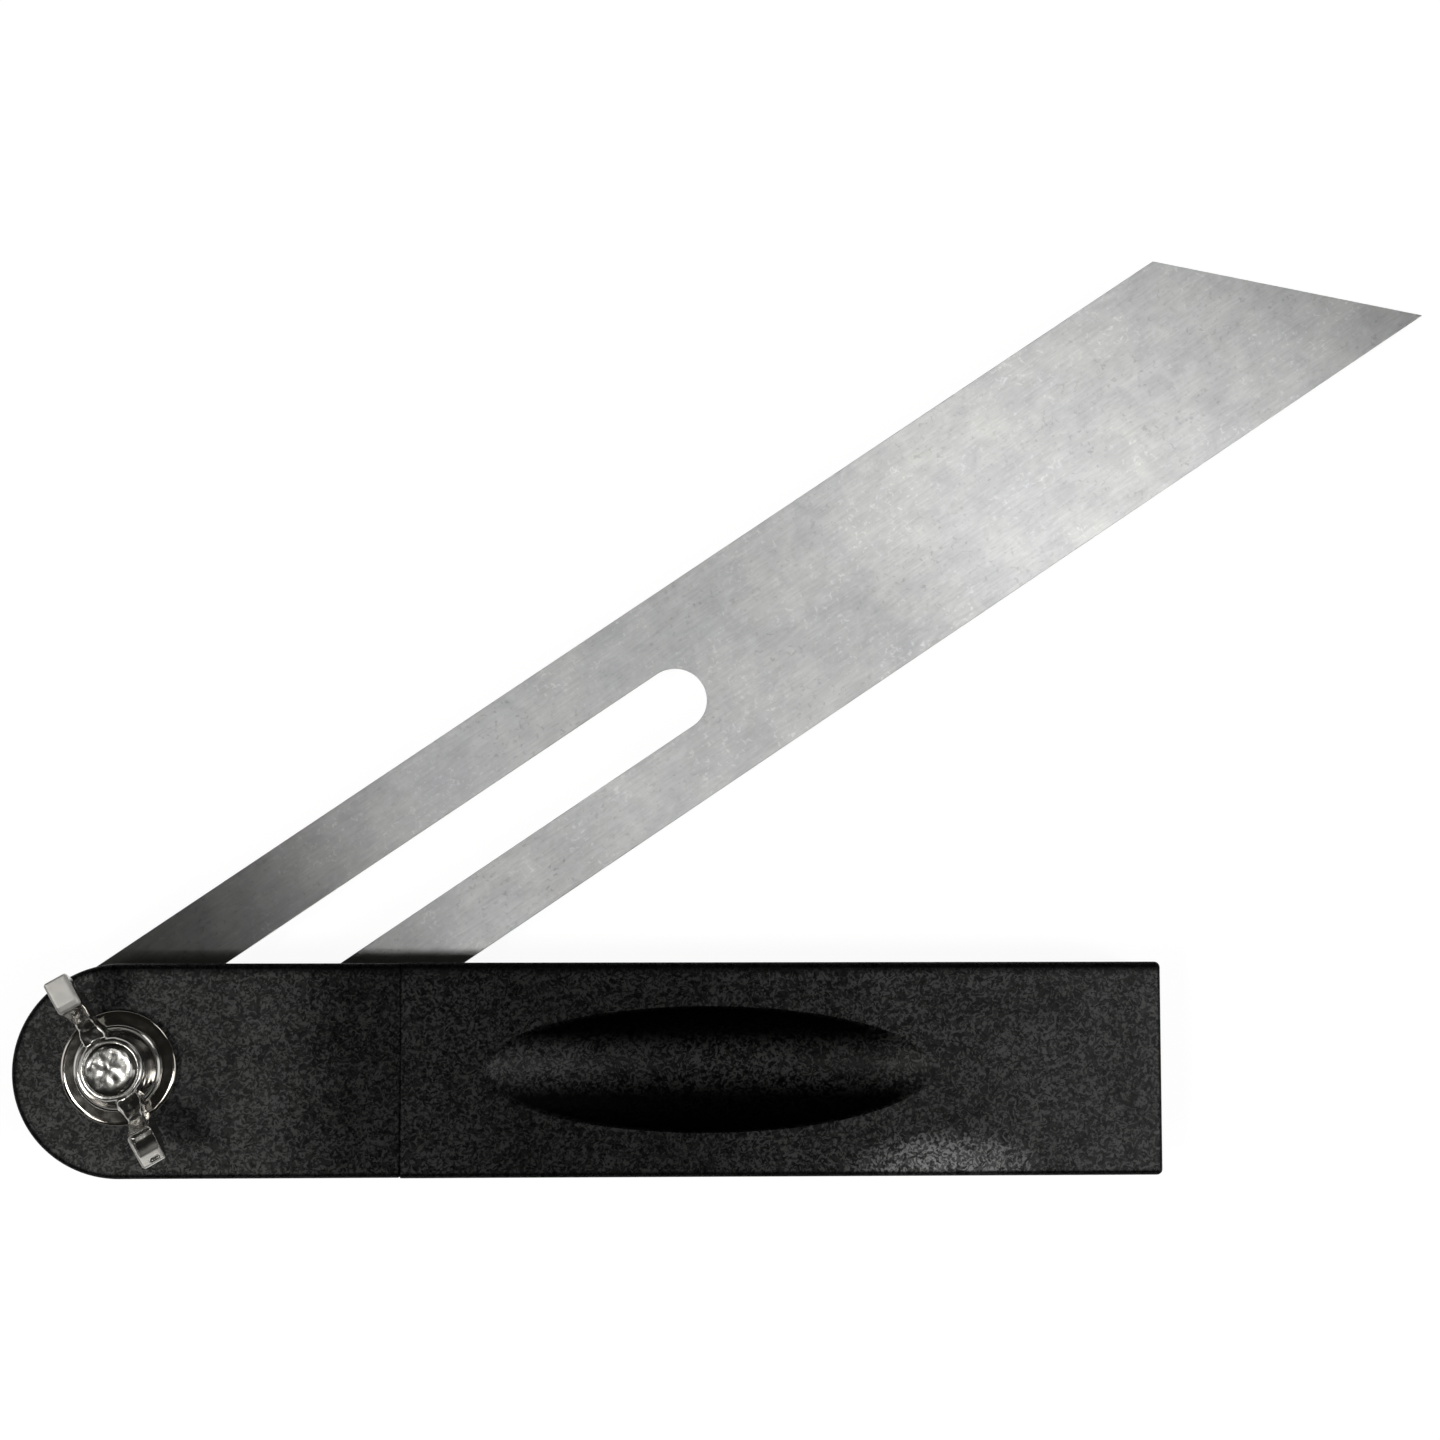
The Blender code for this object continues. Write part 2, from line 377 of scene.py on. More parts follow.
def add_grip_bowl(bm, face_z, outward):
    """The long oval hollow: the cap of a ball, flattened, with its rim in the face's plane."""
    bowl = bmesh.new()
    bmesh.ops.create_uvsphere(bowl, u_segments=arc_steps, v_segments=grip_rings, radius=1)
    rim_z = -cos(grip_rim_angle)
    bmesh.ops.bisect_plane(
        bowl, geom=bowl.verts[:] + bowl.edges[:] + bowl.faces[:], dist=TINY,
        plane_co=(0, 0, rim_z), plane_no=UP, clear_outer=True,
    )
    for vert in bowl.verts:
        spread = vert.co.xy.length
        vert.co.x *= asin(min(spread, 1)) / max(spread, TINY) / grip_rim_angle
        vert.co.y /= sin(grip_rim_angle)
    bmesh.ops.translate(bowl, vec=(0, 0, -rim_z), verts=bowl.verts)
    shape = (grip_length / 2, grip_width / 2, outward * grip_depth / (1 + rim_z))
    bmesh.ops.scale(bowl, vec=shape, verts=bowl.verts)
    bmesh.ops.translate(bowl, vec=(grip_centre_x, handle_mid_y, face_z), verts=bowl.verts)
    holder = bpy.data.meshes.new("bowl")
    bowl.to_mesh(holder)
    bowl.free()
    bm.from_mesh(holder)
    bpy.data.meshes.remove(holder)


def handle_block():
    """The outside of the moulding: a rounded prism with a hollow in each face."""
    bm = bmesh.new()
    top = bm.verts.new((0, handle_high.y, handle_low.z))
    low = half_circle(bm, top, (0, handle_mid_y, 0), arc_steps)
    low_corner = bm.verts.new((handle_high.x, handle_low.y, handle_low.z))
    high_corner = bm.verts.new((handle_high.x, handle_high.y, handle_low.z))
    for pair in ((low, low_corner), (low_corner, high_corner), (high_corner, top)):
        bm.edges.new(pair)
    bmesh.ops.contextual_create(bm, geom=bm.edges)
    bmesh.ops.bevel(
        bm, geom=[low_corner, high_corner], offset=butt_corner, affect="VERTICES",
        segments=butt_corner_steps, profile=0.5, material=-1,
    )
    thicken(bm, (0, 0, handle_thickness))
    caps = [face for face in bm.faces if abs(face.normal.z) > 0.9]
    rims = {edge for face in caps for edge in face.edges}
    bmesh.ops.bevel(
        bm, geom=list(rims), offset=edge_round, affect="EDGES",
        segments=edge_round_steps, profile=0.5, material=-1,
    )
    for face_z, outward in ((handle_low.z, -1), (handle_high.z, 1)):
        cap = max(bm.faces, key=lambda face: outward * face.calc_center_median().z)
        bmesh.ops.delete(bm, geom=[cap], context="FACES_ONLY")
        add_grip_bowl(bm, face_z, outward)
        rims = [edge for edge in bm.edges if edge.is_boundary]
        bmesh.ops.triangle_fill(bm, edges=rims, use_beauty=True)
    return bm


def add_mould_seam(bm):
    """A fine groove where the mould's nose insert met its body; the nose is a hair thinner."""
    middle = seam_x - seam_width / 2
    for at in (seam_x - seam_width, middle, seam_x):
        bmesh.ops.bisect_plane(
            bm, geom=bm.verts[:] + bm.edges[:] + bm.faces[:], dist=TINY,
            plane_co=(at, 0, 0), plane_no=(1, 0, 0),
        )
    nose_end = seam_x - seam_width / 4
    draw_in(bm, [vert for vert in bm.verts if vert.co.x < nose_end], seam_step)
    draw_in(bm, [vert for vert in bm.verts if abs(vert.co.x - middle) < TINY], seam_groove)


def draw_in(bm, verts, depth):
    """Moves points of the handle's outside towards its middle line, by a depth at its surface."""
    centre = Vector((0, handle_mid_y, (handle_low.z + handle_high.z) / 2))
    shrink = (1, 1 - depth / nose_radius, 1 - 2 * depth / handle_thickness)
    bmesh.ops.scale(bm, vec=shrink, space=Matrix.Translation(-centre), verts=verts)


def make_handle():
    bm = handle_block()
    add_mould_seam(bm)
    handle = finish_mesh("handle_moulding", bm)
    past = edge_round * 4
    slot_half = (blade_high.z - blade_low.z) / 2 + slot_clearance
    mid_z = (blade_low.z + blade_high.z) / 2
    nose_cut = block(
        "nose_slot", (handle_low.x - past, handle_low.y - past, mid_z - slot_half),
        (seam_x, handle_high.y + past, mid_z + slot_half),
    )
    body_cut = block(
        "body_slot", (seam_x - past, handle_low.y + web_height, mid_z - slot_half),
        (handle_high.x + past, handle_high.y + past, mid_z + slot_half),
    )
    combine(nose_cut, body_cut, "UNION")
    combine(handle, nose_cut, "DIFFERENCE")
    top = handle_high.z + past
    combine(handle, rod("bolt_hole", bolt_hole_radius, handle_low.z - past, top), "DIFFERENCE")
    head_hole = rod("head_hole", head_hole_radius, handle_low.z - past, head_hole_depth)
    combine(handle, head_hole, "DIFFERENCE")
    side = neck_hole_half
    neck_hole_top = head_hole_depth * 2 - edge_round
    neck_hole = block("neck_hole", (-side, -side, 0), (side, side, neck_hole_top))
    combine(handle, neck_hole, "DIFFERENCE")
    even_shading(handle)
    return handle


# Blade

def make_blade():
    """A strip with a round tail and a bevelled tip, pierced by a long round-ended slot."""
    half = reach("blade", blade_across)
    tip = reach("blade", blade_along)
    travel = joint("blade_slide")["range_m"][1]
    slot_half = blade_slot_width / 2
    bm = bmesh.new()
    tail = bm.verts.new((0, half, blade_low.z))
    tail_end = half_circle(bm, tail, (0, 0, 0), arc_steps)
    tip_low = bm.verts.new((tip, -half, blade_low.z))
    tip_high = bm.verts.new((tip - 2 * half, half, blade_low.z))
    for pair in ((tail_end, tip_low), (tip_low, tip_high), (tip_high, tail)):
        bm.edges.new(pair)
    near = bm.verts.new((0, slot_half, blade_low.z))
    near_end = half_circle(bm, near, (0, 0, 0), blade_slot_steps)
    far = bm.verts.new((travel, -slot_half, blade_low.z))
    far_end = half_circle(bm, far, (travel, 0, 0), blade_slot_steps)
    bm.edges.new((near_end, far))
    bm.edges.new((far_end, near))
    bmesh.ops.triangle_fill(bm, edges=bm.edges[:], use_beauty=True)
    bmesh.ops.dissolve_limit(
        bm, angle_limit=radians(1), verts=bm.verts, edges=bm.edges, use_dissolve_boundaries=False
    )
    thicken(bm, (0, 0, blade_high.z - blade_low.z - 2 * blade_edge_drop))
    bmesh.ops.translate(bm, vec=(0, 0, blade_edge_drop), verts=bm.verts)
    bmesh.ops.recalc_face_normals(bm, faces=bm.faces)
    for side in (1, -1):
        flat = [face for face in bm.faces if face.normal.z * side > 0.99]
        bmesh.ops.inset_region(
            bm, faces=flat, thickness=blade_edge, depth=blade_edge_drop,
            use_boundary=True, use_even_offset=True,
        )
    add_grind_direction(bm)
    turn_about_z(bm, blade_turn)
    return finish_mesh("blade_strip", bm, blade_crease_angle)


def add_grind_direction(bm):
    """A UV map whose U runs across the grinding lines, so that they spread light that way."""
    layer = bm.loops.layers.uv.new("across_the_grind")
    for face in bm.faces:
        for loop in face.loops:
            x, y, z = loop.vert.co
            loop[layer].uv = ((y + z) * blade_map_scale, x * blade_map_scale)


# Washer, bolt and nut

def make_washer():
    outer = washer_high.x
    profile = [(bolt_hole_radius, washer_low.z), (bolt_hole_radius, washer_high.z)]
    profile += rounded(outer, washer_high.z, washer_rim_wide, washer_rim_deep, washer_rim_steps)
    small = washer_rim_deep / 2
    under = rounded(outer, washer_low.z, small, -small, washer_rim_steps // 2)
    profile += reversed(under)
    return turned_piece("flat_washer", profile, washer_facets)


def make_bolt():
    """Head, square neck and a shank with a real thread round it."""
    end = bolt_high.z
    root = bolt_radius - thread_depth
    head = bolt_high.x
    chamfer, chamfer_height = head_top_chamfer
    profile = [(TINY, end - bolt_end_sink)]
    profile += [(bolt_end_radius * share, end - bolt_end_sink) for share in bolt_end_shares]
    profile += [(bolt_end_radius, end - bolt_end_edge), (bolt_end_radius, end - bolt_end_collar)]
    profile += [(root, end - bolt_end_taper), (root, head_top)]
    profile += [(head - chamfer, head_top), (head, head_top - chamfer_height)]
    profile += [(head, head_foot_round), (head - head_foot_middle, head_foot_middle)]
    profile += [(head - head_foot_round, 0), (TINY, 0)]
    bolt = turned_piece("pivot_bolt", profile, bolt_facets)
    crinkle_end(bolt, end)
    side = neck_half
    neck_top = head_top * 2
    neck = block("neck", (-side, -side, head_top / 2), (side, side, neck_top))
    combine(bolt, neck, "UNION")
    bolt.data.set_sharp_from_angle(angle=crease_angle)
    thread = make_thread(neck_top + thread_pitch, end - thread_pitch * thread_end_share)
    join_pieces(bolt, thread)
    return bolt


def crinkle_end(bolt, end):
    """The sheared end of the bolt isn't flat: slow waves across it, as the cut left them."""
    sheared = bolt_end_radius * sheared_share
    for vert in bolt.data.vertices:
        if vert.co.z > end - bolt_end_edge / 2 and vert.co.xy.length < sheared:
            spot = (bolt_wave_turn @ vert.co + bolt_wave_place) * bolt_waves_per_metre
            wave = noise.noise(spot) + fine_wave_share * noise.noise(spot * fine_wave_scale)
            vert.co.z += bolt_wave * (min(wave, bolt_wave_limit) - 1)


def make_thread(low_z, high_z):
    """A ridge of triangular section that climbs round the shank."""
    bm = bmesh.new()
    root = bolt_radius - thread_depth * thread_root_share
    outside = bolt_radius - TINY * 20
    half = thread_pitch * thread_half_share
    crest = thread_pitch * thread_crest_share
    section = [(root, -half), (outside, -crest), (outside, crest), (root, half)]
    start = [bm.verts.new((radius, 0, low_z + height)) for radius, height in section]
    edges = [bm.edges.new(pair) for pair in zip(start, start[1:] + start[:1])]
    turns = int((high_z - low_z) / thread_pitch)
    rise = Vector((0, 0, thread_pitch / thread_steps))
    swept = bmesh.ops.spin(
        bm, geom=start + edges, cent=(0, 0, 0), axis=UP, dvec=rise,
        angle=2 * pi * turns, steps=thread_steps * turns, use_merge=False, use_duplicate=False,
    )
    last = [item for item in swept["geom_last"] if isinstance(item, bmesh.types.BMEdge)]
    bmesh.ops.contextual_create(bm, geom=edges)
    bmesh.ops.contextual_create(bm, geom=last)
    return finish_mesh("thread", bm)


def join_pieces(piece, other):
    """Adds another piece's mesh to a piece, as a body of its own."""
    bm = bmesh.new()
    bm.from_mesh(piece.data)
    bm.from_mesh(other.data)
    bm.to_mesh(piece.data)
    bm.free()
    bpy.data.objects.remove(other, do_unlink=True)


def wing_plate(turn):
    """One wing: a thick plate on edge, square at its top, waisted where it leaves the hub."""
    rise = nut_high.z - nut_low.z
    bm = bmesh.new()
    bm.faces.new([
        bm.verts.new((wing_reach * out, -wing_half, nut_low.z + rise * up))
        for out, up in wing_outline_shares
    ])
    thicken(bm, (0, 2 * wing_half, 0))
    bmesh.ops.recalc_face_normals(bm, faces=bm.faces)
    sides = [face for face in bm.faces if len(face.verts) > 4]
    rims = {edge for face in sides for edge in face.edges}
    bmesh.ops.bevel(
        bm, geom=list(rims), offset=wing_corner, affect="EDGES",
        segments=wing_corner_steps, profile=0.5, material=-1,
    )
    for cut in range(waist_cuts):
        off = waist_spread * (2 * cut / (waist_cuts - 1) - 1)
        bmesh.ops.bisect_plane(
            bm, geom=bm.verts[:] + bm.edges[:] + bm.faces[:], dist=TINY,
            plane_co=(waist_radius + off, 0, 0), plane_no=(1, 0, 0),
        )
    for vert in bm.verts:
        off = min(abs(vert.co.x - waist_radius) / waist_spread, 1)
        vert.co.y *= waist_share + (1 - waist_share) * off * off * (3 - 2 * off)
    turn_about_z(bm, turn)
    return finish_mesh("wing", bm)


def wing_trough(turn):
    """The hollow in the top of one wing: a steep inner end, a short floor, a long slope to the tip."""
    bm = bmesh.new()
    bm.faces.new([bm.verts.new((out, trough_side, nut_high.z + up)) for out, up in trough_outline])
    thicken(bm, (0, trough_width, 0))
    bmesh.ops.recalc_face_normals(bm, faces=bm.faces)
    turn_about_z(bm, turn)
    return finish_mesh("trough", bm)


def tip_slit(turn):
    """The short slit that the mould left along the tip of a wing, as a block to cut it with."""
    middle = Vector((*slit_place, nut_high.z))
    half = Vector(slit_size) / 2
    return block("slit", middle - half, middle + half, turn)


def off_wings(vert, wing_turn):
    """How far round from the wings a point lies: 0 on their line, 1 square to it."""
    return abs(sin(atan2(vert.co.y, vert.co.x) - wing_turn))


def ramp(value, low, high):
    """Rises from 0 at the low value to 1 at the high one."""
    return max(0, min(1, (value - low) / (high - low)))


def true_cone(nut, wing_turn, foot, head):
    """Puts the hub's side back on its cone, away from the wings."""
    for vert in nut.data.vertices:
        share = (vert.co.z - foot[0]) / (head[0] - foot[0])
        aside = off_wings(vert, wing_turn)
        radius = vert.co.xy.length
        if 0 < share < 1 and aside > cone_aside[0] and radius > bolt_radius * cone_clear_share:
            wanted = foot[1] + (head[1] - foot[1]) * share
            weight = ramp(aside, *cone_aside)
            weight *= ramp(share, 0, cone_end_share) * ramp(1 - share, 0, cone_end_share)
            stretch = 1 + weight * (wanted / radius - 1)
            vert.co.x *= stretch
            vert.co.y *= stretch


def roughen_casting(nut, wing_turn):
    """Small lumps where the wings' roots run into the hub, as a sand casting has."""
    foot = nut_low.z + hub_foot_height
    normals = [vert.normal.copy() for vert in nut.data.vertices]
    for vert, normal in zip(nut.data.vertices, normals):
        radius = vert.co.xy.length
        near_root = ramp(radius, *root_inside) * (1 - ramp(radius, *root_outside))
        near_root *= ramp(vert.co.z, foot, foot + root_foot_rise)
        near_root *= 1 - ramp(off_wings(vert, wing_turn), *root_aside)
        lump = noise.noise(vert.co * casting_lumps_per_metre)
        vert.co += normal * (casting_lump * near_root * lump)


def make_nut():
    """A casting: a coned hub with a rim at its foot and two wings, its corners run together."""
    low = nut_low.z
    top = low + hub_height
    foot_edge, foot_edge_top = hub_foot_edge
    cone_foot = hub_foot_radius - hub_foot_inset
    profile = [
        (TINY, top), (hub_top_radius - hub_top_chamfer, top), (hub_top_radius, top - hub_top_chamfer),
        (cone_foot, low + hub_foot_height), (hub_foot_radius, low + foot_edge_top),
        (hub_foot_radius, low + foot_edge), (hub_foot_radius - foot_edge, low), (TINY, low),
    ]
    nut = turned_piece("winged_nut", profile, hub_facets)
    wing_turn = nut_wing_direction()
    for turn in (wing_turn, wing_turn + pi):
        combine(nut, wing_plate(turn), "UNION")
    combine(nut, wing_trough(wing_turn + pi), "DIFFERENCE")
    combine(nut, tip_slit(wing_turn + pi), "DIFFERENCE")
    bore = rod("bore", bolt_radius + bore_clearance, low - thread_pitch, top + thread_pitch)
    combine(nut, bore, "DIFFERENCE")
    cast = nut.modifiers.new("cast", "REMESH")
    cast.mode = "VOXEL"
    cast.voxel_size = cast_voxel
    cast.use_smooth_shade = True
    soften = nut.modifiers.new("soften", "SMOOTH")
    soften.factor = cast_smoothing_share
    soften.iterations = cast_smoothing
    apply_modifiers(nut)
    foot = (low + cone_foot_height, cone_foot)
    true_cone(nut, wing_turn, foot, (top - cone_top_gap, hub_top_radius))
    roughen_casting(nut, wing_turn)
    nut.data.shade_smooth()
    return nut


def nut_wing_direction():
    """The direction of the wings in plan, from the CAD nut's furthest corners."""
    corners = [vert.co.xy for vert in frame["nodes"]["wing_nut"].data.vertices]
    tips = [corner for corner in corners if corner.y > 0 and corner.length > wing_tip_from]
    mean = sum(tips, Vector((0, 0)))
    return atan2(mean.y, mean.x)


# Shared shader effects

def new_group(name, inputs, outputs):
    group = bpy.data.node_groups.new(name, "ShaderNodeTree")
    for label, kind, value in inputs:
        socket = group.interface.new_socket(label, in_out="INPUT", socket_type=kind)
        socket.default_value = value
    for label, kind in outputs:
        group.interface.new_socket(label, in_out="OUTPUT", socket_type=kind)
    entry = group.nodes.new("NodeGroupInput")
    leave = group.nodes.new("NodeGroupOutput")
    return group, entry, leave


def feed(tree, sockets, values):
    """Sets each socket to its number, or links it to the output that is given for it."""
    for key, value in values.items():
        if isinstance(value, (int, float)):
            sockets[key].default_value = value
        else:
            tree.links.new(value, sockets[key])


def math_node(tree, operation, *values):
    node = tree.nodes.new("ShaderNodeMath")
    node.operation = operation
    feed(tree, node.inputs, dict(enumerate(values)))
    return node.outputs[0]


def product(tree, first, *others):
    """Masks and numbers multiplied together."""
    for other in others:
        first = math_node(tree, "MULTIPLY", first, other)
    return first


def inverse(tree, share):
    return math_node(tree, "SUBTRACT", 1.0, share)


def mix_float(tree, factor, first, second):
    """Goes from the first value to the second as the factor goes from 0 to 1."""
    rest = product(tree, inverse(tree, factor), first)
    return math_node(tree, "ADD", rest, product(tree, factor, second))


def range_node(tree, value, low, high, to_low, to_high):
    """Goes from one number to another as the value goes from its low to its high."""
    node = tree.nodes.new("ShaderNodeMapRange")
    feed(tree, node.inputs, {
        "Value": value, "From Min": low, "From Max": high, "To Min": to_low, "To Max": to_high,
    })
    return node.outputs["Result"]


def noise_node(tree, vector, scale, detail, roughness=0.5, distortion=0.0):
    node = tree.nodes.new("ShaderNodeTexNoise")
    feed(tree, node.inputs, {
        "Vector": vector, "Scale": scale, "Detail": detail,
        "Roughness": roughness, "Distortion": distortion,
    })
    return node.outputs["Fac"]


def split(tree, vector):
    """The X, Y and Z of a vector, by those names."""
    node = tree.nodes.new("ShaderNodeSeparateXYZ")
    tree.links.new(vector, node.inputs[0])
    return node.outputs


def use_group(tree, group, **values):
    node = tree.nodes.new("ShaderNodeGroup")
    node.node_tree = group
    feed(tree, node.inputs, values)
    return node.outputs


def mix_colour(tree, factor, first, second):
    node = tree.nodes.new("ShaderNodeMix")
    node.data_type = "RGBA"
    tree.links.new(factor, node.inputs["Factor"])
    for socket, colour in ((node.inputs["A"], first), (node.inputs["B"], second)):
        if isinstance(colour, tuple):
            socket.default_value = (*colour, 1)
        else:
            tree.links.new(colour, socket)
    return node.outputs["Result"]


def bump(tree, shader, height, distance, strength=1.0):
    node = tree.nodes.new("ShaderNodeBump")
    feed(tree, node.inputs, {"Height": height, "Distance": distance, "Strength": strength})
    tree.links.new(node.outputs["Normal"], shader.inputs["Normal"])


def spark_grain_group():
    """The grain of a spark-eroded mould: winding ridges, broken up, as a height and as a mask."""
    group, entry, leave = new_group(
        "spark_grain",
        [("Vector", "NodeSocketVector", (0, 0, 0)), ("Size", "NodeSocketFloat", 0.0005)],
        [("Height", "NodeSocketFloat"), ("Flecks", "NodeSocketFloat")],
    )
    place = entry.outputs["Vector"]
    scale = math_node(group, "DIVIDE", 1.0, entry.outputs["Size"])
    coarse = noise_node(group, place, scale, 1.0, 0.5, 1.6)
    off_middle = math_node(group, "ABSOLUTE", math_node(group, "SUBTRACT", coarse, 0.5))
    ridges = math_node(group, "MAXIMUM", inverse(group, product(group, off_middle, 7.0)), 0.0)
    fine = noise_node(group, place, product(group, scale, 2.6), 2.0, 0.6, 0.8)
    light = product(group, ridges, range_node(group, fine, 0.44, 0.54, 0.0, 1.3))
    pits = noise_node(group, place, product(group, scale, 1.9), 3.0, 0.6, 1.2)
    dark = range_node(group, pits, 0.50, 0.43, 0.0, 0.28)
    flecks = math_node(group, "SUBTRACT", math_node(group, "ADD", light, 0.22), dark)
    flecks = math_node(group, "MAXIMUM", flecks, 0.0)
    group.links.new(flecks, leave.inputs["Flecks"])
    height = math_node(group, "ADD", product(group, flecks, 1.2), fine)
    group.links.new(height, leave.inputs["Height"])
    return group


def grind_lines_group():
    """Fine lines along one direction, as a grinding belt leaves them."""
    group, entry, leave = new_group(
        "grind_lines",
        [
            ("Vector", "NodeSocketVector", (0, 0, 0)), ("Turn", "NodeSocketFloat", 0.0),
            ("Length", "NodeSocketFloat", 0.01), ("Width", "NodeSocketFloat", 0.0001),
        ],
        [("Lines", "NodeSocketFloat")],
    )
    turned = group.nodes.new("ShaderNodeVectorRotate")
    turned.rotation_type = "Z_AXIS"
    group.links.new(entry.outputs["Vector"], turned.inputs["Vector"])
    group.links.new(product(group, entry.outputs["Turn"], -1.0), turned.inputs["Angle"])
    parts = split(group, turned.outputs["Vector"])
    along = math_node(group, "DIVIDE", parts["X"], entry.outputs["Length"])
    across = math_node(group, "DIVIDE", parts["Y"], entry.outputs["Width"])
    height = math_node(group, "DIVIDE", parts["Z"], entry.outputs["Length"])
    place = group.nodes.new("ShaderNodeCombineXYZ")
    for source, socket in zip((along, across, height), place.inputs):
        group.links.new(source, socket)
    lines = noise_node(group, place.outputs[0], 1.0, 3.0, 0.6)
    group.links.new(lines, leave.inputs["Lines"])
    return group


def worn_edge_group():
    """A mask of the corners, where handling rubs a surface."""
    group, entry, leave = new_group(
        "worn_edge",
        [("Radius", "NodeSocketFloat", 0.0003), ("Amount", "NodeSocketFloat", 1.0)],
        [("Mask", "NodeSocketFloat")],
    )
    soft = group.nodes.new("ShaderNodeBevel")
    soft.samples = 4
    group.links.new(entry.outputs["Radius"], soft.inputs["Radius"])
    plain = group.nodes.new("ShaderNodeNewGeometry")
    agree = group.nodes.new("ShaderNodeVectorMath")
    agree.operation = "DOT_PRODUCT"
    group.links.new(soft.outputs["Normal"], agree.inputs[0])
    group.links.new(plain.outputs["Normal"], agree.inputs[1])
    mask = product(group, inverse(group, agree.outputs["Value"]), entry.outputs["Amount"])
    group.links.new(math_node(group, "MINIMUM", mask, 1.0), leave.inputs["Mask"])
    return group


def soft_spot_group():
    """A soft oval patch in plan."""
    group, entry, leave = new_group(
        "soft_spot",
        [
            ("Vector", "NodeSocketVector", (0, 0, 0)), ("X", "NodeSocketFloat", 0.0),
            ("Y", "NodeSocketFloat", 0.0), ("Wide", "NodeSocketFloat", 0.01),
            ("Deep", "NodeSocketFloat", 0.01),
        ],
        [("Mask", "NodeSocketFloat")],
    )
    parts = split(group, entry.outputs["Vector"])
    squares = []
    for axis, size in (("X", "Wide"), ("Y", "Deep")):
        off = math_node(group, "SUBTRACT", parts[axis], entry.outputs[axis])
        share = math_node(group, "DIVIDE", off, entry.outputs[size])
        squares.append(product(group, share, share))
    distance = math_node(group, "ADD", *squares)
    group.links.new(range_node(group, distance, 0.0, 1.0, 1.0, 0.0), leave.inputs["Mask"])
    return group


def new_material(name, colour, roughness, metallic):
    material = bpy.data.materials.new(name)
    material.use_nodes = True
    tree = material.node_tree
    shader = tree.nodes["Principled BSDF"]
    shader.inputs["Base Color"].default_value = (*colour, 1)
    shader.inputs["Roughness"].default_value = roughness
    shader.inputs["Metallic"].default_value = metallic
    place = tree.nodes.new("ShaderNodeTexCoord").outputs["Object"]
    return material, tree, shader, place


# Materials

def unshaded_by_rim(tree, parts, on_top):
    """A mask that falls to nearly nothing along the top's edge, where painted shade darkens the rim."""

    def fade(distance, edge, rim):
        return range_node(tree, distance, edge - rim[0], edge - rim[1], 1.0, rim_unshaded_share)

    past_nose = math_node(tree, "MINIMUM", parts["X"], 0.0)
    off_middle = math_node(tree, "SUBTRACT", parts["Y"], handle_mid_y)
    squares = [product(tree, side, side) for side in (past_nose, off_middle)]
    outward = math_node(tree, "SQRT", math_node(tree, "ADD", *squares))
    band = product(
        tree, fade(outward, nose_radius, nose_rim), fade(off_middle, nose_radius, upper_rim),
        fade(parts["X"], handle_high.x, butt_rim),
    )
    return mix_float(tree, on_top, 1.0, band)


def plastic_wear_and_light(tree, along):
    """How dull hands have made the flat plastic, its lighter colour in part painted light: at its nose,
    past the seam and towards the butt.
    """
    nose = range_node(tree, along, nose_full_to, nose_none_from, nose_wear_and_light, 0.0)
    past_seam = range_node(tree, along, seam_x, seam_x + seam_fade_length, seam_wear_and_light, 0.0)
    past_seam = product(tree, past_seam, math_node(tree, "GREATER_THAN", along, seam_x))
    butt = range_node(tree, along, butt_rise_from, butt_rise_to, 0.0, butt_wear_and_light)
    return math_node(tree, "ADD", math_node(tree, "ADD", nose, past_seam), butt)


def grip_wear_and_light(tree, along, far_end):
    """The same for the grip recess, also in part painted light: dull at both ends and nearly clean at
    its middle.
    """
    near_end = grip_centre_x - grip_length / 2
    wear_and_light = range_node(tree, along, near_end, grip_centre_x, grip_near_wear_and_light, grip_middle_wear_and_light)
    return math_node(tree, "ADD", wear_and_light, product(tree, far_end, grip_far_wear_and_light))


def grip_shadow(tree, parts, in_grip, far_end):
    """A mask of painted shade on the recess's steep walls, which it paints black, but for the upper
    one's far end.
    """
    offset = math_node(tree, "SUBTRACT", parts["Y"], handle_mid_y + grip_band_offset)
    aside = math_node(tree, "ABSOLUTE", offset)
    walls = range_node(tree, aside, grip_band_half, grip_shade_from, 0.0, grip_shade)
    far_above = product(tree, far_end, math_node(tree, "GREATER_THAN", offset, 0.0))
    return product(tree, in_grip, walls, inverse(tree, far_above))


def plastic_colour(tree, flecks, wear_and_light, polish_highlight, shadow, edge, rubbed):
    """Black, a little lighter on the grain's flecks where hands have been and as painted light; a
    painted highlight at the polished spot, painted shade on the recess's walls and along the rim.
    """
    black = (0.0001, 0.0001, 0.0001)
    clean = mix_colour(tree, flecks, black, (0.0040, 0.0040, 0.0037))
    # Painted light in part: the lighter handled colour also stands in for where the lamps light the
    # handle's nose, butt and recess ends.
    worn_and_lit = mix_colour(tree, flecks, (0.0008, 0.0008, 0.0007), (0.034, 0.034, 0.032))
    shade = mix_colour(tree, wear_and_light, clean, worn_and_lit)
    # Painted highlight: the polished spot's flecks are lightened towards grey.
    shade = mix_colour(tree, product(tree, polish_highlight, flecks), shade, (0.12, 0.12, 0.12))
    # Painted shade: the recess's steep walls are painted black.
    shade = mix_colour(tree, shadow, shade, black)
    # Painted shade: the top's rounded rim is painted black.
    shade = mix_colour(tree, edge, black, shade)
    return mix_colour(tree, rubbed, shade, (0.004, 0.004, 0.004))


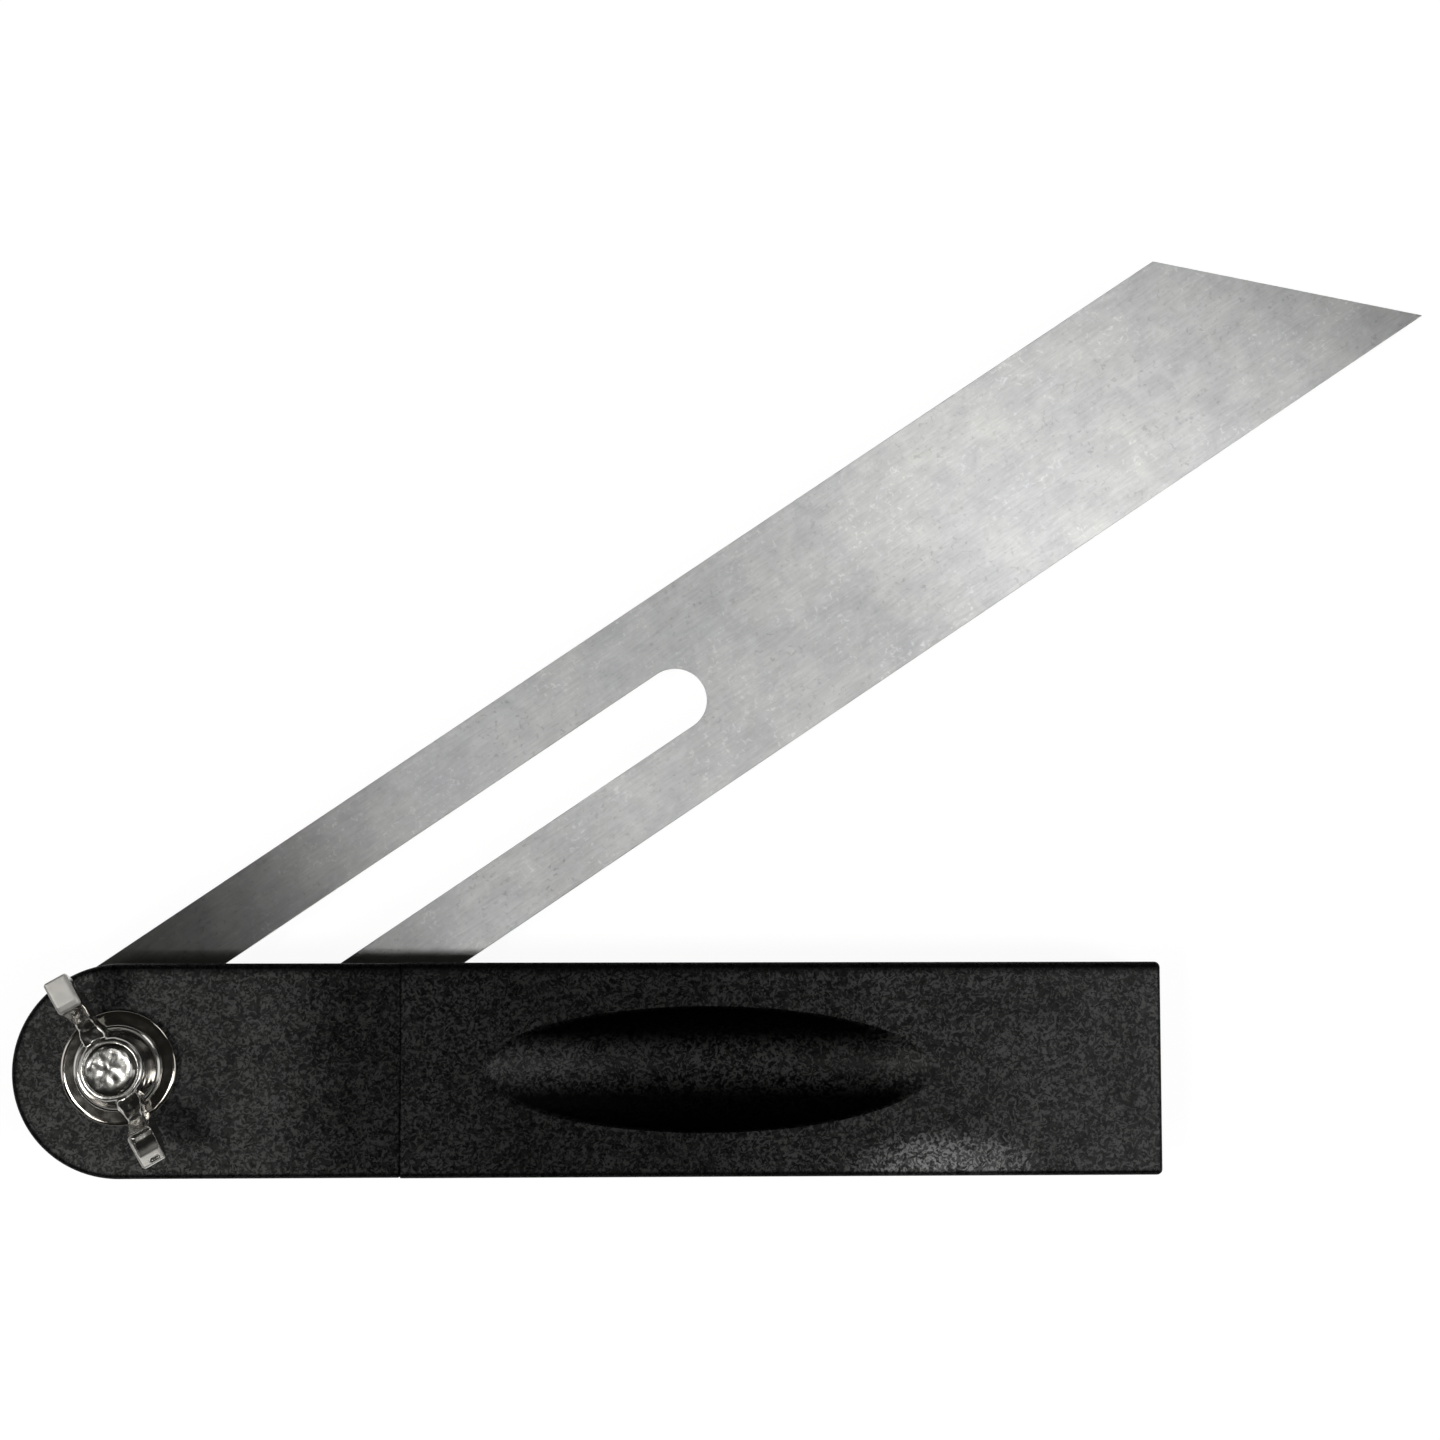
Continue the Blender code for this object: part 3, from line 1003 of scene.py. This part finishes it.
def plastic_sheen(tree, place, flecks, wear_and_light, polish_highlight, shadow, edge):
    """How much soft coat lies on the grain's crests, in slow blotches."""
    crests = range_node(tree, flecks, 0.04, 0.85, 0.0, 1.38)
    crests = mix_float(tree, product(tree, wear_and_light, 0.85), crests, 0.68)
    covered = math_node(tree, "ADD", range_node(tree, wear_and_light, 0.0, 1.0, 0.145, 0.80), polish_highlight)
    blotches = range_node(tree, noise_node(tree, place, 110.0, 2.0, 0.6), 0.36, 0.64, 0.85, 1.11)
    return product(tree, crests, covered, blotches, inverse(tree, shadow), edge)


def black_plastic(grain, worn, spot):
    """Grained black moulding, dulled by hands and polished by a palm at one spot of its edge, with
    painted light and painted shade in its colour.
    """
    material, tree, shader, place = new_material("grained_black_plastic", (0.004, 0.004, 0.004), 0.4, 0)
    parts = split(tree, place)
    along = parts["X"]
    top_from, top_to = (handle_high.z - below for below in top_fade)
    on_top = range_node(tree, parts["Z"], top_from, top_to, 0.0, 1.0)
    recess = use_group(
        tree, spot, Vector=place, X=grip_centre_x, Y=handle_mid_y,
        Wide=grip_length / 2, Deep=grip_width / 2,
    )["Mask"]
    in_grip = range_node(tree, recess, 0.0, 0.1, 0.0, 1.0)
    far_end = range_node(tree, along, grip_far_from, grip_far_to, 0.0, 1.0)
    wear_and_light = mix_float(tree, in_grip, plastic_wear_and_light(tree, along), grip_wear_and_light(tree, along, far_end))
    polish_highlight = use_group(
        tree, spot, Vector=place, X=polish_highlight_place[0], Y=polish_highlight_place[1],
        Wide=polish_highlight_size[0], Deep=polish_highlight_size[1],
    )["Mask"]
    polish_highlight = product(tree, math_node(tree, "POWER", polish_highlight, polish_highlight_falloff), on_top)
    spark = use_group(tree, grain, Vector=place, Size=grain_size)
    mottle = range_node(tree, noise_node(tree, place, 350.0, 3.0, 0.6), 0.36, 0.64, 0.65, 1.2)
    flecks = product(tree, spark["Flecks"], mottle)
    shadow = grip_shadow(tree, parts, in_grip, far_end)
    edge = unshaded_by_rim(tree, parts, on_top)
    rubbed = use_group(tree, worn, Radius=rub_radius, Amount=0.5)["Mask"]
    colour = plastic_colour(tree, flecks, wear_and_light, polish_highlight, shadow, edge, rubbed)
    tree.links.new(colour, shader.inputs["Base Color"])
    sheen = plastic_sheen(tree, place, flecks, wear_and_light, polish_highlight, shadow, edge)
    tree.links.new(sheen, shader.inputs["Coat Weight"])
    shader.inputs["Coat Roughness"].default_value = 0.5
    shader.inputs["Coat IOR"].default_value = 1.8
    shader.inputs["Specular IOR Level"].default_value = 0.04
    tree.links.new(range_node(tree, flecks, 0.0, 0.6, 0.28, 0.40), shader.inputs["Roughness"])
    relief = product(tree, spark["Height"], range_node(tree, in_grip, 0.0, 1.0, 1.0, 0.2))
    bump(tree, shader, relief, grain_depth)
    return material


def steel_specks(tree, place):
    """Small bright and dark specks, in loose groups, as two amounts."""
    specks = noise_node(tree, place, 1600.0, 2.0, 0.6, 0.5)
    groups = noise_node(tree, place, 130.0, 2.0)
    bright = range_node(tree, specks, 0.58, 0.68, 0.0, 0.22)
    dark = range_node(tree, specks, 0.41, 0.31, 0.0, 0.22)
    bright = product(tree, bright, range_node(tree, groups, 0.42, 0.60, 0.0, 1.0))
    dark = product(tree, dark, range_node(tree, groups, 0.58, 0.38, 0.1, 1.0))
    return bright, dark


def ground_steel(grind, spot):
    """Fine-ground steel: it spreads light across the blade; soft clouds, two faint darker patches and
    small specks.
    """
    material, tree, shader, place = new_material("ground_blade_steel", (0.6, 0.6, 0.59), 0.276, 1)
    lines = use_group(
        tree, grind, Vector=place, Turn=blade_turn, Length=grind_length, Width=grind_width
    )["Lines"]
    clouds = range_node(tree, noise_node(tree, place, 150.0, 5.0, 0.65), 0.35, 0.65, 0.0, 1.0)
    cloud_shade = mix_colour(tree, clouds, (0.572, 0.572, 0.581), (0.635, 0.635, 0.619))
    blots = range_node(tree, noise_node(tree, place, 300.0, 4.0, 0.7, 0.8), 0.38, 0.62, 0.945, 1.045)
    line_shade = product(tree, range_node(tree, lines, 0.3, 0.7, 0.92, 1.08), blots)
    bright, dark = steel_specks(tree, place)
    shading = math_node(tree, "SUBTRACT", math_node(tree, "ADD", line_shade, bright), dark)
    for x, y, wide, deep in blade_dark_patches:
        dark_patch = use_group(tree, spot, Vector=place, X=x, Y=y, Wide=wide, Deep=deep)["Mask"]
        shading = math_node(tree, "SUBTRACT", shading, product(tree, dark_patch, dark_patch_strength))
    shade = tree.nodes.new("ShaderNodeVectorMath")
    shade.operation = "SCALE"
    tree.links.new(cloud_shade, shade.inputs[0])
    tree.links.new(shading, shade.inputs["Scale"])
    tree.links.new(shade.outputs[0], shader.inputs["Base Color"])
    shader.inputs["Anisotropic"].default_value = 1.0
    across = tree.nodes.new("ShaderNodeTangent")
    across.direction_type = "UV_MAP"
    across.uv_map = "across_the_grind"
    tree.links.new(across.outputs[0], shader.inputs["Tangent"])
    bump(tree, shader, lines, grind_depth, 0.5)
    return material


def bright_nickel(name, rough, dark, light, ripple, satin_above=1.0):
    """Nickel plate, faintly cloudy and rippled; above a height, where thumbs rub, it is satin.

    The height that is given by default lies above every piece.
    """
    material, tree, shader, place = new_material(name, light, rough, 1)
    clouds = noise_node(tree, place, 900.0, 3.0)
    tree.links.new(mix_colour(tree, clouds, dark, light), shader.inputs["Base Color"])
    rubbed = range_node(tree, split(tree, place)["Z"], satin_above, satin_above + satin_blend, 0.0, 1.0)
    gloss = range_node(tree, clouds, 0.3, 0.7, rough * 0.75, rough * 1.25)
    gloss = math_node(tree, "ADD", gloss, product(tree, rubbed, satin_rough))
    tree.links.new(gloss, shader.inputs["Roughness"])
    smoothed = range_node(tree, rubbed, 0.0, 1.0, 1.0, 0.1)
    waves = product(tree, noise_node(tree, place, 1400.0, 2.0), smoothed)
    bump(tree, shader, waves, ripple_depth, ripple)
    return material


def nut_plate():
    """The nut's plate is satin on the tops of its wings."""
    satin_above = nut_high.z - satin_below_top
    return bright_nickel(
        "nut_plate", rough=0.18, dark=(0.35, 0.345, 0.325), light=(0.43, 0.42, 0.40), ripple=0.5,
        satin_above=satin_above,
    )


def bolt_plate():
    """The bolt's plate is the darkest of the three."""
    return bright_nickel(
        "bolt_plate", rough=0.22, dark=(0.28, 0.275, 0.26), light=(0.38, 0.375, 0.36), ripple=0.5
    )


def washer_plate():
    """The washer's plate is smoother and browner than the nut's."""
    return bright_nickel(
        "washer_plate", rough=0.09, dark=(0.34, 0.32, 0.29), light=(0.42, 0.40, 0.37), ripple=0.12
    )


def plain_brass():
    material, tree, shader, place = new_material("turned_brass", (0.45, 0.30, 0.13), 0.35, 1)
    rings = noise_node(tree, place, 4000.0, 2.0)
    tree.links.new(range_node(tree, rings, 0.3, 0.7, 0.28, 0.42), shader.inputs["Roughness"])
    return material


def give(piece, material):
    piece.data.materials.clear()
    piece.data.materials.append(material)


# Studio

def white_paper():
    """Bright where it is seen or mirrored, and plain white for the light that it sends on."""
    material = bpy.data.materials.new("white_paper")
    material.use_nodes = True
    tree = material.node_tree
    tree.nodes.clear()
    out = tree.nodes.new("ShaderNodeOutputMaterial")
    path = tree.nodes.new("ShaderNodeLightPath")
    matt = tree.nodes.new("ShaderNodeBsdfDiffuse")
    matt.inputs["Color"].default_value = (0.8, 0.8, 0.8, 1)
    dim = tree.nodes.new("ShaderNodeBsdfDiffuse")
    dim.inputs["Color"].default_value = (0.13, 0.13, 0.13, 1)
    glow = tree.nodes.new("ShaderNodeEmission")
    glow.inputs["Strength"].default_value = floor_brightness
    seen = math_node(tree, "MAXIMUM", path.outputs["Is Camera Ray"], path.outputs["Is Glossy Ray"])
    seen = math_node(tree, "MAXIMUM", seen, path.outputs["Is Transmission Ray"])
    both = tree.nodes.new("ShaderNodeAddShader")
    tree.links.new(dim.outputs[0], both.inputs[0])
    tree.links.new(glow.outputs[0], both.inputs[1])
    choose = tree.nodes.new("ShaderNodeMixShader")
    tree.links.new(seen, choose.inputs[0])
    tree.links.new(matt.outputs[0], choose.inputs[1])
    tree.links.new(both.outputs[0], choose.inputs[2])
    tree.links.new(choose.outputs[0], out.inputs["Surface"])
    return material


def make_floor():
    bm = bmesh.new()
    bmesh.ops.create_grid(bm, x_segments=1, y_segments=1, size=floor_half)
    bmesh.ops.translate(bm, vec=(0, 0, -floor_drop), verts=bm.verts)
    floor = finish_mesh("studio_floor", bm)
    give(floor, white_paper())


def leaning_lamp(name, right, back, size, radiance, colour=(1, 1, 1)):
    """A rectangular lamp that leans from overhead by angles to the right and to the back.

    It faces the tool with its width level, and is given by how bright it looks.
    """
    lean = Vector((tan(radians(right)), tan(radians(back)), 1))
    width, height = size
    light = bpy.data.lights.new(name, "AREA")
    light.shape = "RECTANGLE"
    light.size = width
    light.size_y = height
    light.energy = radiance * pi * width * height
    light.color = colour
    lamp = bpy.data.objects.new(name, light)
    bpy.context.scene.collection.objects.link(lamp)
    away = lean.normalized()
    level = Vector((0, 1, 0)).cross(away).normalized()
    turn = Matrix((level, away.cross(level), away)).transposed()
    lamp.matrix_world = Matrix.Translation(lamp_target + lean * lamp_height) @ turn.to_4x4()


def make_lights():
    leaning_lamp("near_softbox", 10.9, -10.5, (0.36, 0.20), 7.1)
    leaning_lamp("far_softbox", 27.3, -10.5, (0.48, 0.26), 13.0)
    leaning_lamp("left_key", -21, -9, (0.22, 0.22), 36.0, warm_white)
    leaning_lamp("left_front", -23, -27, (0.24, 0.24), 10.0, warm_white)
    leaning_lamp("right_wall", 62, -5, (2.0, 1.6), 1.6)
    leaning_lamp("left_wall", -62, 8, (2.0, 1.6), 1.5)
    leaning_lamp("right_back", 45, 48, (0.8, 0.8), 2.8)
    world = bpy.data.worlds.new("studio")
    bpy.context.scene.world = world
    world.use_nodes = True
    sky = world.node_tree.nodes["Background"]
    sky.inputs["Color"].default_value = (*gloom, 1)
    sky.inputs["Strength"].default_value = 1.0


def make_camera():
    camera = bpy.data.cameras.new("camera")
    camera.sensor_width = camera_width
    camera.lens = camera_lens
    holder = bpy.data.objects.new("camera", camera)
    bpy.context.scene.collection.objects.link(holder)
    holder.location = camera_place
    holder.rotation_euler = camera_turn
    bpy.context.scene.camera = holder


def dress():
    grain = spark_grain_group()
    grind = grind_lines_group()
    worn = worn_edge_group()
    spot = soft_spot_group()
    pieces = (
        (make_handle(), "handle", "handle_group", "black_plastic", black_plastic(grain, worn, spot)),
        (make_blade(), "blade", "blade_group", "ground_steel", ground_steel(grind, spot)),
        (make_washer(), "washer", "washer_group", "washer_nickel", washer_plate()),
        (make_bolt(), "bolt", "handle_group", "bolt_nickel", bolt_plate()),
        (make_nut(), "wing_nut", "nut_group", "nut_nickel", nut_plate()),
    )
    for piece, node, body, slot, material in pieces:
        give(piece, material)
        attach(piece, body)
        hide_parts(node)
    give(frame["nodes"]["slot_bush"], plain_brass())


dress()
make_floor()
make_lights()
make_camera()
bpy.context.scene.view_settings.view_transform = "Standard"
